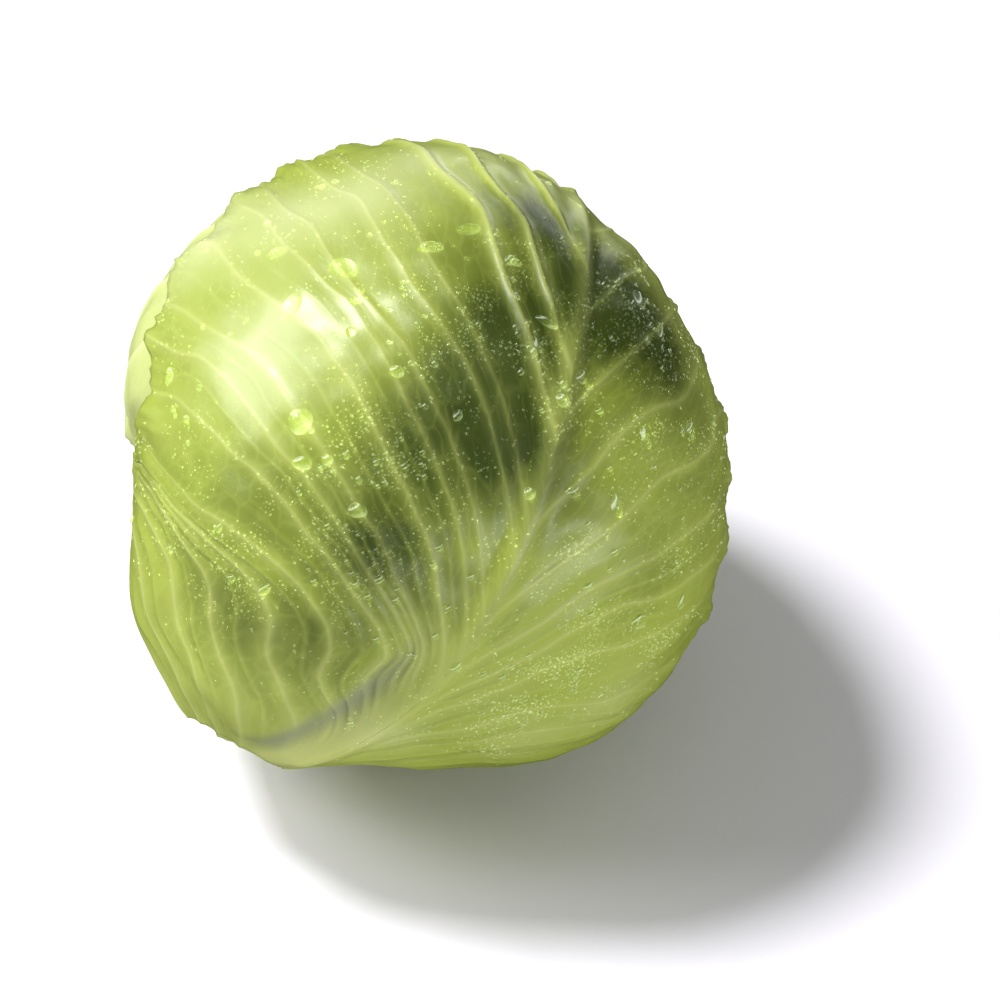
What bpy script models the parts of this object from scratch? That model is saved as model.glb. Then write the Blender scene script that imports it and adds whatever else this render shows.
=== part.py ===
"""A whole head of green cabbage lying on its side: wrapper leaves round a packed inner head, on a cut stem.

Metres, +Z up. Every piece is worked out on one head shape, in degrees round the stem's axis:
"turn" is the angle round the axis, 0 on the side that the head shows to the front, and "reach" is
the angle from the stem's cut end, 0 there and 180 at the crown. "Aside" is the turn away from a
leaf's own midrib, and "across" is the share of the way from the midrib to the leaf's margin.
"""

import bpy
import numpy as np

# The head: half its width and half its height without the taper to the stem
HEAD_HALF_WIDTH = 0.0951
HEAD_HALF_HEIGHT = 0.0884

# Swellings and hollows of the head: turn, reach, height, and how far they spread in degrees
STEM_TAPER = (0, 0, 0.0186, 27)
SWELLINGS = (
    STEM_TAPER,
    (-115, 52, -0.0058, 20),
    (-115, 30, 0.0037, 14),
    (-115, 150, 0.0032, 25),
    (65, 146, -0.0056, 26),
    (65, 116, -0.0041, 15),
    (65, 94, -0.0014, 15),
    (65, 64, 0.0040, 22),
    (65, 22, -0.0061, 15),
)

# How the head lies: the compass heading of the stem, how far it dips, and the roll of the front leaf
STEM_HEADING = 229.7
STEM_DIP = 30.9
FRONT_ROLL = 53.0
FOOT_DEPTH = 0.0034

# The leaves
BLADE_THICKNESS = 0.0011
LAYER = 0.0029
LEAF_START = 9.0
LEAF_END = 175.0
FAN = 40.0
FAN_ROWS = 11
FAN_VEINS = np.array([0.9, 0.7, 0.5, 0.3, 0.1])
ROWS_APART = 1.6
TIP_ROW = 163.0
COLUMN_SPREAD = 1.2
RAGGED = 0.035
RAGGED_ROWS = (-1.0, 17.0)
LEFT = 0
RIGHT = 1
SIGN = (-1.0, 1.0)
MIDRIB_HALF_WIDTH = (0.0085, 0.0024)
MIDRIB_HEIGHT = (0.0050, 0.0008)
MIDRIB_TAPER = 0.7
MIDRIB_AT_STEM = 0.3
MIDRIB_FULL_AT = 18.0
VEIN_HEIGHT = 0.0024
VEIN_HALF_WIDTH = 1.0
VEIN_FADE = 0.7
VEIN_JOINS = 0.012
VEINS_APART = 12.0
PUFF = 0.0005
COVERED_RELIEF = 0.1
FLARE = 0.0024
SIDE_MARGIN = 0.80
TIP_MARGIN = 150.0
WAVE_ALONG = 0.45
WAVE_ROUND = 0.10
SWELL_ASIDE = (9.0, 32.0, 50.0, 88.0)
SWELL_REACH = (8.0, 22.0, 48.0, 92.0)
COVER_EDGE = (3.0, 15.0)
LOBE_ROWS = (-4.0, 22.0)
LOBE_REACH = (57.0, 67.0)
TIP_BEND_START = 110.0

SHARP_FROM = 80.0

# The stem and the core that it becomes inside the head
STEM_ANGLE = 8.7
STEM_CUT = 0.1026
CORE_TIP = 0.040
CORE_TIP_RADIUS = 0.0040
STEM_SLOPE = np.tan(np.radians(STEM_ANGLE))
CUT_EDGE = 0.0008
CORE_BASE = 0.088
STEM_SIDES = 28
PIECE_GAP = 0.0004

# The inner head
INNER_GAP = 0.0016
INNER_STEP = 0.0016
INNER_STEP_REACH = (70.0, 130.0)
INNER_TWIST = 2.0
INNER_SPIRALS = 5
INNER_SIDES = 30
INNER_ROWS = 16
INNER_START = 10.2
INNER_END = 174.0

LEAVES = (
    {
        "name": "leaf_front",
        "turn": 22.0,
        "sway": -0.30,
        "half_width": (93.0, 72.0),
        "rise": (48.0, 90.0),
        "run": (28.0, 36.0),
        "fan_span": (126.0, 60.0),
        "lobe": (40.0, 0.0),
        "over_crown": 16.0,
        "swell": (0.0046, 0.0008),
        "left_veins": (13, 25, 33, 40, 51, 60, 66, 78, 84, 99, 111, 131, 148),
        "right_veins": (13, 29, 40, 51, 66, 84, 103, 121, 140),
        "columns": (13, 11),
        "seed": 3,
    },
    {
        "name": "leaf_under",
        "turn": 124.0,
        "sway": -0.08,
        "half_width": (88.0, 62.0),
        "rise": (60.0, 52.0),
        "run": (32.0, 30.0),
        "fan_span": (66.0, 56.0),
        "lobe": (0.0, 0.0),
        "over_crown": 12.0,
        "swell": (0.0010, 0.0010),
        "left_veins": (14, 32, 50, 68, 88, 108, 130, 150),
        "right_veins": (22, 41, 59, 78, 98, 119, 140),
        "columns": (9, 8),
        "seed": 11,
    },
    {
        "name": "leaf_left",
        "turn": 226.0,
        "sway": 0.07,
        "half_width": (58.0, 92.0),
        "rise": (50.0, 58.0),
        "run": (28.0, 32.0),
        "fan_span": (52.0, 70.0),
        "lobe": (0.0, 0.0),
        "over_crown": 10.0,
        "swell": (0.0010, 0.0018),
        "left_veins": (17, 35, 54, 74, 95, 117, 140),
        "right_veins": (25, 44, 64, 84, 106, 128, 150),
        "columns": (8, 9),
        "seed": 23,
    },
    {
        "name": "leaf_back",
        "turn": 186.0,
        "sway": -0.05,
        "half_width": (66.0, 66.0),
        "rise": (54.0, 54.0),
        "run": (30.0, 30.0),
        "fan_span": (50.0, 50.0),
        "lobe": (0.0, 0.0),
        "over_crown": 8.0,
        "swell": (0.0010, 0.0010),
        "left_veins": (19, 38, 58, 79, 101, 124, 148),
        "right_veins": (28, 48, 68, 90, 112, 136),
        "columns": (8, 8),
        "seed": 37,
    },
)

LEAF_FINISH = {
    "leaf_front": ((0.40, 0.50, 0.14, 1.0), 0.38),
    "leaf_under": ((0.44, 0.53, 0.18, 1.0), 0.40),
    "leaf_left": ((0.56, 0.64, 0.28, 1.0), 0.40),
    "leaf_back": ((0.50, 0.58, 0.24, 1.0), 0.40),
}
INNER_FINISH = ((0.72, 0.76, 0.45, 1.0), 0.45)
STEM_FINISH = ((0.70, 0.68, 0.46, 1.0), 0.60)


def unit(vector):
    return vector / np.linalg.norm(vector)


def head_axes():
    """The stem's direction, the direction that the front of the head faces, and the side to its right."""
    heading = np.radians(STEM_HEADING)
    dip = np.radians(STEM_DIP)
    roll = np.radians(FRONT_ROLL)
    stem = np.array([np.cos(heading) * np.cos(dip), np.sin(heading) * np.cos(dip), -np.sin(dip)])
    upper = unit(np.array([0.0, 0.0, 1.0]) + stem * np.sin(dip))
    across = np.cross(-stem, upper)
    front = upper * np.cos(roll) + across * np.sin(roll)
    return stem, front, np.cross(-stem, front)


STEM, FRONT, SIDE = head_axes()


def direction(turn, reach):
    """Unit vectors at the given angles in degrees."""
    turn = np.radians(np.asarray(turn, float))[..., None]
    reach = np.radians(np.asarray(reach, float))[..., None]
    return np.cos(reach) * STEM + np.sin(reach) * (np.cos(turn) * FRONT + np.sin(turn) * SIDE)


def angles(way):
    """The turn and the reach of unit vectors, in degrees."""
    reach = np.degrees(np.arccos(np.clip(way @ STEM, -1.0, 1.0)))
    return np.degrees(np.arctan2(way @ SIDE, way @ FRONT)), reach


def head_radius(way):
    """The distance from the head's middle to its outside, along unit vectors."""
    along = way @ STEM
    radius = 1.0 / np.sqrt((1.0 - along**2) / HEAD_HALF_WIDTH**2 + along**2 / HEAD_HALF_HEIGHT**2)
    for turn, reach, height, spread in SWELLINGS:
        apart = np.degrees(np.arccos(np.clip(way @ direction(turn, reach), -1.0, 1.0)))
        radius = radius + height * np.exp(-((apart / spread) ** 2))
    return radius


def smooth_step(low, high, value):
    share = np.clip((value - low) / (high - low), 0.0, 1.0)
    return share * share * (3.0 - 2.0 * share)


def bent_over_crown(leaf, way, reach, back=False):
    """Turns the end of a leaf on past the crown, or with back the other way."""
    midrib = midrib_turn(leaf, 90.0)
    pivot = np.cross(STEM, direction(midrib, 90.0))
    bend = np.radians(leaf["over_crown"] * smooth_step(TIP_BEND_START, 180.0, reach))[..., None]
    if back:
        bend = -bend
    along = (way @ pivot)[..., None] * pivot
    return way * np.cos(bend) + np.cross(pivot, way) * np.sin(bend) + along * (1.0 - np.cos(bend))


def midrib_turn(leaf, reach):
    return leaf["turn"] + leaf["sway"] * reach


def covering(leaf, way):
    """1 where a leaf lies over that direction, falling to 0 past its margin."""
    _, reach = angles(way)
    turn, reach = angles(bent_over_crown(leaf, way, reach, back=True))
    aside = (turn - midrib_turn(leaf, reach) + 180.0) % 360.0 - 180.0
    low = 1.0 - smooth_step(*LOBE_REACH, reach)
    left, right = (leaf["half_width"][side] + leaf["lobe"][side] * low for side in (LEFT, RIGHT))
    past = np.where(aside < 0.0, -aside - left, aside - right) * np.sin(np.radians(reach))
    return 1.0 - smooth_step(COVER_EDGE[0], COVER_EDGE[1], past)


def depth_under(leaves, way):
    """How far the leaves that lie over it hold a piece below the head's outside."""
    depth = np.zeros(way.shape[:-1])
    for leaf in leaves:
        depth = depth + LAYER * covering(leaf, way)
    return depth


def rows_of(leaf):
    """Where a leaf's rows leave its midrib: along each side vein, and between two of them.

    Below LEAF_START the rows fan out round the stem instead.
    """
    rows = sorted(set(leaf["left_veins"]) | set(leaf["right_veins"]))
    for veins in (leaf["left_veins"], leaf["right_veins"]):
        for low, high in zip(veins, veins[1:]):
            between = (low + high) / 2.0
            if min(abs(between - row) for row in rows) > ROWS_APART:
                rows.append(between)
    fan = LEAF_START - FAN * np.linspace(1.0, 0.0, FAN_ROWS)
    return np.concatenate([fan, sorted(rows), [TIP_ROW, LEAF_END]])


def half_leaf_angles(leaf, side, start, across):
    """Turn and reach on one half: each row leaves the midrib and sweeps on towards the tip."""
    draw = np.random.default_rng(leaf["seed"] + side)
    ragged = 1.0 - RAGGED * smooth_step(*RAGGED_ROWS, start) * draw.random((start.shape[0], 1))
    base = np.maximum(start, LEAF_START)
    opened = leaf["fan_span"][side] * np.maximum(LEAF_START - start, 0.0) / FAN
    half_width = leaf["half_width"][side] + leaf["lobe"][side] * (1.0 - smooth_step(*LOBE_ROWS, start))
    aside = opened + (half_width * ragged - opened) * across
    rise = leaf["rise"][side] * np.tanh((LEAF_END - base) / leaf["rise"][side])
    reach = base + rise * (1.0 - np.exp(-(aside - opened) / leaf["run"][side]))
    return midrib_turn(leaf, reach) + SIGN[side] * aside, reach, aside


def off_midrib(reach, aside):
    """How far from the midrib, along the head's surface."""
    return HEAD_HALF_WIDTH * np.sin(np.radians(reach)) * np.radians(aside)


def vein_relief(leaf, side, start, across, off):
    """Side veins as ridges that fade towards the margin, with the blade puffed between them.

    Veins that stand close together are lower, and all of them grow out of the midrib.
    """
    veins = leaf["left_veins"] if side == LEFT else leaf["right_veins"]
    places = np.concatenate([LEAF_START - FAN * FAN_VEINS, veins])
    here = np.interp(start, places, np.arange(len(places)))
    share = here - np.floor(here)
    puff = PUFF * 4.0 * share * (1.0 - share)
    gaps = np.diff(places, prepend=places[0] - VEINS_APART, append=places[-1] + VEINS_APART)
    heights = VEIN_HEIGHT * np.minimum(np.minimum(gaps[1:], gaps[:-1]) / VEINS_APART, 1.0)
    ridges = heights * np.exp(-(((start[..., None] - places) / VEIN_HALF_WIDTH) ** 2))
    ridge = ridges.max(axis=-1) * (1.0 - VEIN_FADE * across)
    return (puff + ridge) * smooth_step(0.0, VEIN_JOINS, off)


def midrib_relief(reach, off):
    """The midrib: broad and thick near the stem, thin at the tip."""
    share = np.clip(reach / LEAF_END, 0.0, 1.0) ** MIDRIB_TAPER
    half_width = MIDRIB_HALF_WIDTH[0] + (MIDRIB_HALF_WIDTH[1] - MIDRIB_HALF_WIDTH[0]) * share
    height = MIDRIB_HEIGHT[0] + (MIDRIB_HEIGHT[1] - MIDRIB_HEIGHT[0]) * share
    full = smooth_step(LEAF_START, MIDRIB_FULL_AT, reach)
    height = height * (MIDRIB_AT_STEM + (1.0 - MIDRIB_AT_STEM) * full)
    return height * np.exp(-((off / half_width) ** 2))


def rise_and_fall(bounds, value):
    return smooth_step(bounds[0], bounds[1], value) * (1.0 - smooth_step(bounds[2], bounds[3], value))


def blade_swell(leaf, side, reach, aside):
    """The blade bulges beside the midrib's lower end, which leaves the midrib in a valley."""
    return leaf["swell"][side] * rise_and_fall(SWELL_ASIDE, aside) * rise_and_fall(SWELL_REACH, reach)


def on_head(way, radius, depth):
    """Points at a distance from the head's middle, pressed flat where they would sink below the foot."""
    points = way * radius[..., None]
    points[..., 2] = np.maximum(points[..., 2], depth - FOOT_LEVEL)
    return points


def half_leaf(leaf, side, leaves_over):
    """The outer and the inner face of one half of a leaf, as points round the head's middle."""
    across = np.linspace(0.0, 1.0, leaf["columns"][side] + 1) ** COLUMN_SPREAD
    start, across = np.meshgrid(rows_of(leaf), across, indexing="ij")
    turn, reach, aside = half_leaf_angles(leaf, side, start, across)
    way = bent_over_crown(leaf, direction(turn, reach), reach)
    depth = depth_under(leaves_over, way)
    bare = 1.0 - np.clip(depth / LAYER, 0.0, 1.0)
    off = off_midrib(reach, aside)
    relief = (COVERED_RELIEF + (1.0 - COVERED_RELIEF) * bare) * vein_relief(leaf, side, start, across, off)
    relief = relief + bare * (midrib_relief(reach, off) + blade_swell(leaf, side, reach, aside))
    margin = np.maximum(smooth_step(SIDE_MARGIN, 1.0, across), smooth_step(TIP_MARGIN, LEAF_END, start))
    wave = 0.5 + 0.5 * np.sin(WAVE_ALONG * start + WAVE_ROUND * aside + leaf["seed"])
    surface = head_radius(way) - depth + bare * FLARE * margin * wave
    outer = on_head(way, surface + relief, depth)
    inner = on_head(way, surface - BLADE_THICKNESS, depth + BLADE_THICKNESS)
    return outer, inner


def sheet_faces(rows, columns, first, flip):
    """Triangles over a grid of points numbered from first."""
    faces = []
    for row in range(rows - 1):
        for column in range(columns - 1):
            a = first + row * columns + column
            c = a + columns
            pair = ((a, a + 1, c), (a + 1, c + 1, c))
            faces += [face[::-1] for face in pair] if flip else pair
    return faces


def closed_skin(outer, inner, faces):
    """A blade's outer face, its inner face split alike, and the wall along its edge."""
    _, first, index = np.unique(np.round(outer, 7), axis=0, return_index=True, return_inverse=True)
    faces = index.reshape(-1)[np.array(faces)]
    edges = {(int(face[k]), int(face[k - 2])) for face in faces for k in range(3)}
    count = len(first)
    skin = [tuple(int(corner) for corner in face) for face in faces]
    skin += [(c + count, b + count, a + count) for a, b, c in skin]
    for a, b in sorted(edges):
        if (b, a) not in edges:
            skin += [(b, a, a + count), (b, a + count, b + count)]
    return np.concatenate([outer[first], inner[first]]), skin


def material(name, finish):
    colour, roughness = finish
    made = bpy.data.materials.new(name)
    made.use_nodes = True
    shader = made.node_tree.nodes["Principled BSDF"]
    shader.inputs["Base Color"].default_value = colour
    shader.inputs["Roughness"].default_value = roughness
    shader.inputs["Metallic"].default_value = 0.0
    made.diffuse_color = colour
    return made


def add_piece(name, points, faces, finish):
    """A piece whose origin is the head's middle, which stands over the spot that the head rests on."""
    mesh = bpy.data.meshes.new(name)
    mesh.from_pydata([tuple(point) for point in points], [], faces)
    mesh.validate()
    mesh.shade_smooth()
    mesh.set_sharp_from_angle(angle=np.radians(SHARP_FROM))
    mesh.materials.append(material(name, finish))
    piece = bpy.data.objects.new(name, mesh)
    piece.location.z = FOOT_LEVEL
    bpy.context.scene.collection.objects.link(piece)
    return piece


def make_leaf(leaf, leaves_over):
    outer_parts = []
    inner_parts = []
    faces = []
    placed = 0
    for side in (LEFT, RIGHT):
        outer, inner = half_leaf(leaf, side, leaves_over)
        rows, columns = outer.shape[:2]
        faces += sheet_faces(rows, columns, placed, flip=side == LEFT)
        placed += rows * columns
        outer_parts.append(outer.reshape(-1, 3))
        inner_parts.append(inner.reshape(-1, 3))
    points, skin = closed_skin(np.concatenate(outer_parts), np.concatenate(inner_parts), faces)
    return add_piece(leaf["name"], points, skin, LEAF_FINISH[leaf["name"]])


def ring(along, radius, sides):
    """Points round the stem's axis."""
    turn = np.radians(np.arange(sides) * 360.0 / sides)[:, None]
    return along * STEM + radius * (np.cos(turn) * FRONT + np.sin(turn) * SIDE)


def turned_faces(rings, sides, flip):
    """Triangles over rings of points, with one point before them and one after."""
    last = 1 + rings * sides
    faces = []
    for k in range(sides):
        after = (k + 1) % sides
        faces.append((0, 1 + k, 1 + after))
        faces.append((last, last - sides + after, last - sides + k))
        for row in range(rings - 1):
            a = 1 + row * sides
            faces.append((a + k, a + sides + k, a + after))
            faces.append((a + after, a + sides + k, a + sides + after))
    return [face[::-1] for face in faces] if flip else faces


def make_stem():
    """The cut stalk and the core, turned on the stem's axis, from the core's tip to the cut."""
    profile = [
        (CORE_TIP, CORE_TIP_RADIUS),
        (CORE_BASE, CORE_BASE * STEM_SLOPE),
        (STEM_CUT - CUT_EDGE, (STEM_CUT - CUT_EDGE) * STEM_SLOPE),
        (STEM_CUT, STEM_CUT * STEM_SLOPE - CUT_EDGE),
    ]
    rings = [ring(along, radius, STEM_SIDES) for along, radius in profile]
    points = np.concatenate([[CORE_TIP * STEM], *rings, [STEM_CUT * STEM]])
    return add_piece("stem", points, turned_faces(len(profile), STEM_SIDES, flip=False), STEM_FINISH)


def make_inner_head():
    """The packed inner leaves: one dense body with spiral leaf edges at its crown and a well for the core."""
    turn = np.arange(INNER_SIDES) * 360.0 / INNER_SIDES
    well_bottom = CORE_TIP - PIECE_GAP
    rings = [
        ring(well_bottom, CORE_TIP_RADIUS + PIECE_GAP, INNER_SIDES),
        ring(CORE_BASE, CORE_BASE * STEM_SLOPE + PIECE_GAP, INNER_SIDES),
    ]
    for reach in np.linspace(INNER_START, INNER_END, INNER_ROWS):
        way = direction(turn, np.full(INNER_SIDES, reach))
        depth = depth_under(LEAVES, way) + INNER_GAP
        step = (turn * INNER_SPIRALS + reach * INNER_TWIST) % 360.0 / 360.0
        depth = depth + INNER_STEP * step * smooth_step(*INNER_STEP_REACH, reach)
        rings.append(on_head(way, head_radius(way) - depth, depth))
    crown = np.mean(rings[-1], axis=0)
    points = np.concatenate([[well_bottom * STEM], *rings, [crown]])
    faces = turned_faces(len(rings), INNER_SIDES, flip=True)
    return add_piece("inner_head", points, faces, INNER_FINISH)


FOOT_LEVEL = float(head_radius(np.array([0.0, 0.0, -1.0]))) - FOOT_DEPTH

for old in list(bpy.data.objects):
    bpy.data.objects.remove(old)

for layer, wrapper in enumerate(LEAVES):
    make_leaf(wrapper, LEAVES[:layer])
make_inner_head()
make_stem()
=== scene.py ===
import bpy
import numpy as np
from mathutils import Matrix, Vector
from mathutils.bvhtree import BVHTree


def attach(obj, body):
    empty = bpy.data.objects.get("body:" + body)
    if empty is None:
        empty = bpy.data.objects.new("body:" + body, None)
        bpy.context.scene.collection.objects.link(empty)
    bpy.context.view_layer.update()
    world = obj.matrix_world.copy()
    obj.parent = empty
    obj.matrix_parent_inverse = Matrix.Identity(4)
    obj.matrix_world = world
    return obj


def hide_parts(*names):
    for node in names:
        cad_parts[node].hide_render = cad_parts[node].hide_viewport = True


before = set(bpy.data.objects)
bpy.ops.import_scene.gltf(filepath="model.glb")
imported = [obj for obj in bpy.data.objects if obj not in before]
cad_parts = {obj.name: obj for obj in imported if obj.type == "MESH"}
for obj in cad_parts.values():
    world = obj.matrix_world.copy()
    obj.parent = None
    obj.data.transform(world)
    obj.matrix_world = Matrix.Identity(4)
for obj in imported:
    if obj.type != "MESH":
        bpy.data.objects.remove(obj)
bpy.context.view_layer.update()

# The wrapper leaves: four broad waxy blades, each grown from the stem on a thick pale midrib with
# side veins, wrapped tight round the head and over one another's margins. They follow the packed
# leaves' own rule in finer steps, with wandering veins, puckers and torn margins added.
HEAD_HALF_WIDTH = 0.0951
HEAD_HALF_HEIGHT = 0.0884
STEM_TAPER = (0, 0, 0.0186, 27)
SWELLINGS = (
    STEM_TAPER,
    (-115, 52, -0.0058, 20),
    (-115, 30, 0.0037, 14),
    (-115, 150, 0.0032, 25),
    (65, 146, -0.0056, 26),
    (65, 116, -0.0041, 15),
    (65, 94, -0.0014, 15),
    (65, 64, 0.0040, 22),
    (65, 22, -0.0061, 15),
)
STEM_HEADING = 229.7
STEM_DIP = 30.9
FRONT_ROLL = 53.0
FOOT_DEPTH = 0.0034

BLADE_THICKNESS = 0.0011
LAYER = 0.0029
LEAF_START = 9.0
LEAF_END = 175.0
FAN = 40.0
FAN_ROWS = 11
FAN_VEINS = np.array([0.9, 0.7, 0.5, 0.3, 0.1])
ROWS_APART = 1.6
TIP_ROW = 163.0
COLUMN_SPREAD = 1.2
RAGGED = 0.035
RAGGED_ROWS = (-1.0, 17.0)
TORN = 0.007
LEFT = 0
RIGHT = 1
SIGN = (-1.0, 1.0)
MIDRIB_HALF_WIDTH = (0.0085, 0.0024)
MIDRIB_HEIGHT = (0.0050, 0.0008)
MIDRIB_TAPER = 0.7
MIDRIB_AT_STEM = 0.3
MIDRIB_FULL_AT = 18.0
VEIN_HEIGHT = 0.0020
VEIN_HALF_WIDTH = 1.0
VEIN_JOINS = 0.012
VEINS_APART = 12.0
VEIN_FOOT = 2.8
TWIG_HEIGHT = 0.0011
TWIG_HALF_WIDTH = 0.9
TWIG_REACH = (18.0, 28.0, 46.0, 70.0)
WIDEST_ROW = 0.0018
CURL_REACH = (18.0, 30.0, 52.0, 72.0)
FULL_CURL = 6.0
GROOVE_DEPTH = 0.0018
GROOVE_OFF = 0.0125
GROOVE_WIDTH = 0.0040
VEIN_WANDER = 1.4
PUFF = 0.0008
PUCKERS = ((0.034, 0.00050), (0.013, 0.00022))
COVERED_RELIEF = 0.1
FLARE = 0.0024
FLARE_ROWS = (4.0, 22.0)
RUFFLE = 0.0007
SIDE_MARGIN = 0.80
TIP_MARGIN = 150.0
WAVE_ALONG = 0.45
WAVE_ROUND = 0.10
SWELL_ASIDE = (9.0, 32.0, 50.0, 88.0)
SWELL_REACH = (8.0, 22.0, 48.0, 92.0)
COVER_EDGE = (3.0, 15.0)
LOBE_ROWS = (-4.0, 22.0)
LOBE_REACH = (57.0, 67.0)
SHOULDER_ROWS = (-14.0, 0.0, 18.0, 30.0)
TIP_BEND_START = 110.0

LEAVES = (
    {
        "name": "leaf_front",
        "turn": 22.0,
        "sway": -0.30,
        "half_width": (93.0, 72.0),
        "rise": (48.0, 90.0),
        "run": (28.0, 36.0),
        "fan_span": (126.0, 60.0),
        "lobe": (40.0, 0.0),
        "over_crown": 16.0,
        "swell": (0.0046, 0.0008),
        "left_veins": (13, 25, 33, 40, 51, 60, 66, 78, 84, 99, 111, 131, 148),
        "right_veins": (13, 29, 40, 51, 66, 84, 103, 121, 140),
        "vein_scale": (1.0, 0.35),
        "vein_fade": (0.10, 0.5),
        "curl": (6.0, 0.0),
        "seed": 3,
        "slot": "front_leaf_skin",
        "row_step": 0.9,
        "fine_columns": (84, 68),
    },
    {
        "name": "leaf_under",
        "turn": 124.0,
        "sway": -0.08,
        "half_width": (88.0, 62.0),
        "rise": (60.0, 52.0),
        "run": (32.0, 30.0),
        "fan_span": (66.0, 56.0),
        "lobe": (0.0, 0.0),
        "over_crown": 12.0,
        "swell": (0.0010, 0.0010),
        "left_veins": (14, 32, 50, 68, 88, 108, 130, 150),
        "right_veins": (22, 41, 59, 78, 98, 119, 140),
        "vein_scale": (0.8, 0.8),
        "vein_fade": (0.6, 0.6),
        "curl": (0.0, 0.0),
        "seed": 11,
        "slot": "under_leaf_skin",
        "row_step": 1.3,
        "fine_columns": (56, 44),
    },
    {
        "name": "leaf_left",
        "turn": 226.0,
        "sway": 0.07,
        "half_width": (58.0, 92.0),
        "rise": (50.0, 58.0),
        "run": (28.0, 32.0),
        "fan_span": (52.0, 70.0),
        "lobe": (0.0, 0.0),
        "over_crown": 10.0,
        "swell": (0.0010, 0.0018),
        "left_veins": (17, 35, 54, 74, 95, 117, 140),
        "right_veins": (25, 44, 64, 84, 106, 128, 150),
        "vein_scale": (0.7, 0.7),
        "vein_fade": (0.6, 0.6),
        "curl": (0.0, 0.0),
        "seed": 23,
        "slot": "left_leaf_skin",
        "row_step": 1.3,
        "fine_columns": (40, 58),
    },
    {
        "name": "leaf_back",
        "turn": 186.0,
        "sway": -0.05,
        "half_width": (66.0, 66.0),
        "rise": (54.0, 54.0),
        "run": (30.0, 30.0),
        "fan_span": (50.0, 50.0),
        "lobe": (0.0, 0.0),
        "over_crown": 8.0,
        "swell": (0.0010, 0.0010),
        "left_veins": (19, 38, 58, 79, 101, 124, 148),
        "right_veins": (28, 48, 68, 90, 112, 136),
        "vein_scale": (0.8, 0.8),
        "vein_fade": (0.6, 0.6),
        "curl": (0.0, 0.0),
        "seed": 37,
        "slot": "back_leaf_skin",
        "row_step": 1.3,
        "fine_columns": (44, 44),
    },
)

# Where the front leaf is deep green instead of lime, partly its own colour and partly painted
# shade: a pixel of the photograph, how strongly, and how far it spreads in degrees
DEEP_GREEN_AND_SHADE = (
    ((505, 450), 0.90, 13),
    ((490, 390), 0.80, 12),
    ((520, 330), 0.90, 14),
    ((600, 290), 1.0, 15),
    ((620, 310), 0.9, 14),
    ((545, 225), 0.85, 11),
    ((660, 345), 0.80, 11),
    ((680, 410), 0.24, 10),
    ((705, 480), 0.18, 10),
    ((650, 570), 0.22, 12),
    ((570, 500), 0.30, 7),
    ((430, 470), 0.65, 12),
    ((385, 545), 0.86, 12),
    ((455, 260), 0.35, 9),
    ((300, 490), 0.40, 10),
    ((440, 600), 0.35, 10),
    ((420, 420), 0.62, 9),
    ((235, 600), 0.46, 12),
    ((320, 630), 0.58, 11),
    ((250, 480), 0.22, 10),
    ((185, 520), 0.16, 9),
    ((520, 205), 0.35, 8),
)

# Where it is almost cream, in the same terms: the upper-left patches are painted light where the
# key light and its highlight fall, the patches on the keel and low down are bleached leaf
BLEACHED_AND_LIT = (
    ((215, 250), 0.55, 11),
    ((300, 225), 0.45, 10),
    ((370, 200), 0.45, 10),
    ((420, 160), 0.30, 8),
    ((270, 350), 0.30, 10),
    ((290, 742), 0.50, 7),
    ((390, 728), 0.25, 6),
    ((610, 690), 0.18, 9),
    ((520, 735), 0.14, 8),
)


def unit(vector):
    return vector / np.linalg.norm(vector)


def bell(value, width):
    """1 at 0, falling off smoothly over the width."""
    return np.exp(-((value / width) ** 2))


def head_axes():
    """The stem's direction, the direction that the front of the head faces, and the side to its right."""
    heading = np.radians(STEM_HEADING)
    dip = np.radians(STEM_DIP)
    roll = np.radians(FRONT_ROLL)
    stem = np.array([np.cos(heading) * np.cos(dip), np.sin(heading) * np.cos(dip), -np.sin(dip)])
    upper = unit(np.array([0.0, 0.0, 1.0]) + stem * np.sin(dip))
    across = np.cross(-stem, upper)
    front = upper * np.cos(roll) + across * np.sin(roll)
    return stem, front, np.cross(-stem, front)


STEM, FRONT, SIDE = head_axes()


def direction(turn, reach):
    """Unit vectors at the given angles in degrees."""
    turn = np.radians(np.asarray(turn, float))[..., None]
    reach = np.radians(np.asarray(reach, float))[..., None]
    return np.cos(reach) * STEM + np.sin(reach) * (np.cos(turn) * FRONT + np.sin(turn) * SIDE)


def angles(way):
    """The turn and the reach of unit vectors, in degrees."""
    reach = np.degrees(np.arccos(np.clip(way @ STEM, -1.0, 1.0)))
    return np.degrees(np.arctan2(way @ SIDE, way @ FRONT)), reach


def degrees_from(way, turn, reach):
    return np.degrees(np.arccos(np.clip(way @ direction(turn, reach), -1.0, 1.0)))


def head_radius(way):
    """The distance from the head's middle to its outside, along unit vectors."""
    along = way @ STEM
    radius = 1.0 / np.sqrt((1.0 - along**2) / HEAD_HALF_WIDTH**2 + along**2 / HEAD_HALF_HEIGHT**2)
    for turn, reach, height, spread in SWELLINGS:
        radius = radius + height * bell(degrees_from(way, turn, reach), spread)
    return radius


FOOT_LEVEL = float(head_radius(np.array([0.0, 0.0, -1.0]))) - FOOT_DEPTH
HEAD_MIDDLE = np.array([0.0, 0.0, FOOT_LEVEL])


# The camera's frame: how much of the head a pixel of the photograph spans, and where its middle is
PIXEL = 0.0003
HEAD_PIXEL = (428.0, 456.0)
VIEW_RIGHT = np.array([1.0, 0.0, 0.0])
VIEW_UP = np.array([0.0, 0.5**0.5, 0.5**0.5])
TOWARDS = np.array([0.0, -(0.5**0.5), 0.5**0.5])


def seen_at(across, down):
    """The point at the head's distance that the photograph shows at a pixel, from the head's middle."""
    return PIXEL * ((across - HEAD_PIXEL[0]) * VIEW_RIGHT - (down - HEAD_PIXEL[1]) * VIEW_UP)


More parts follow.
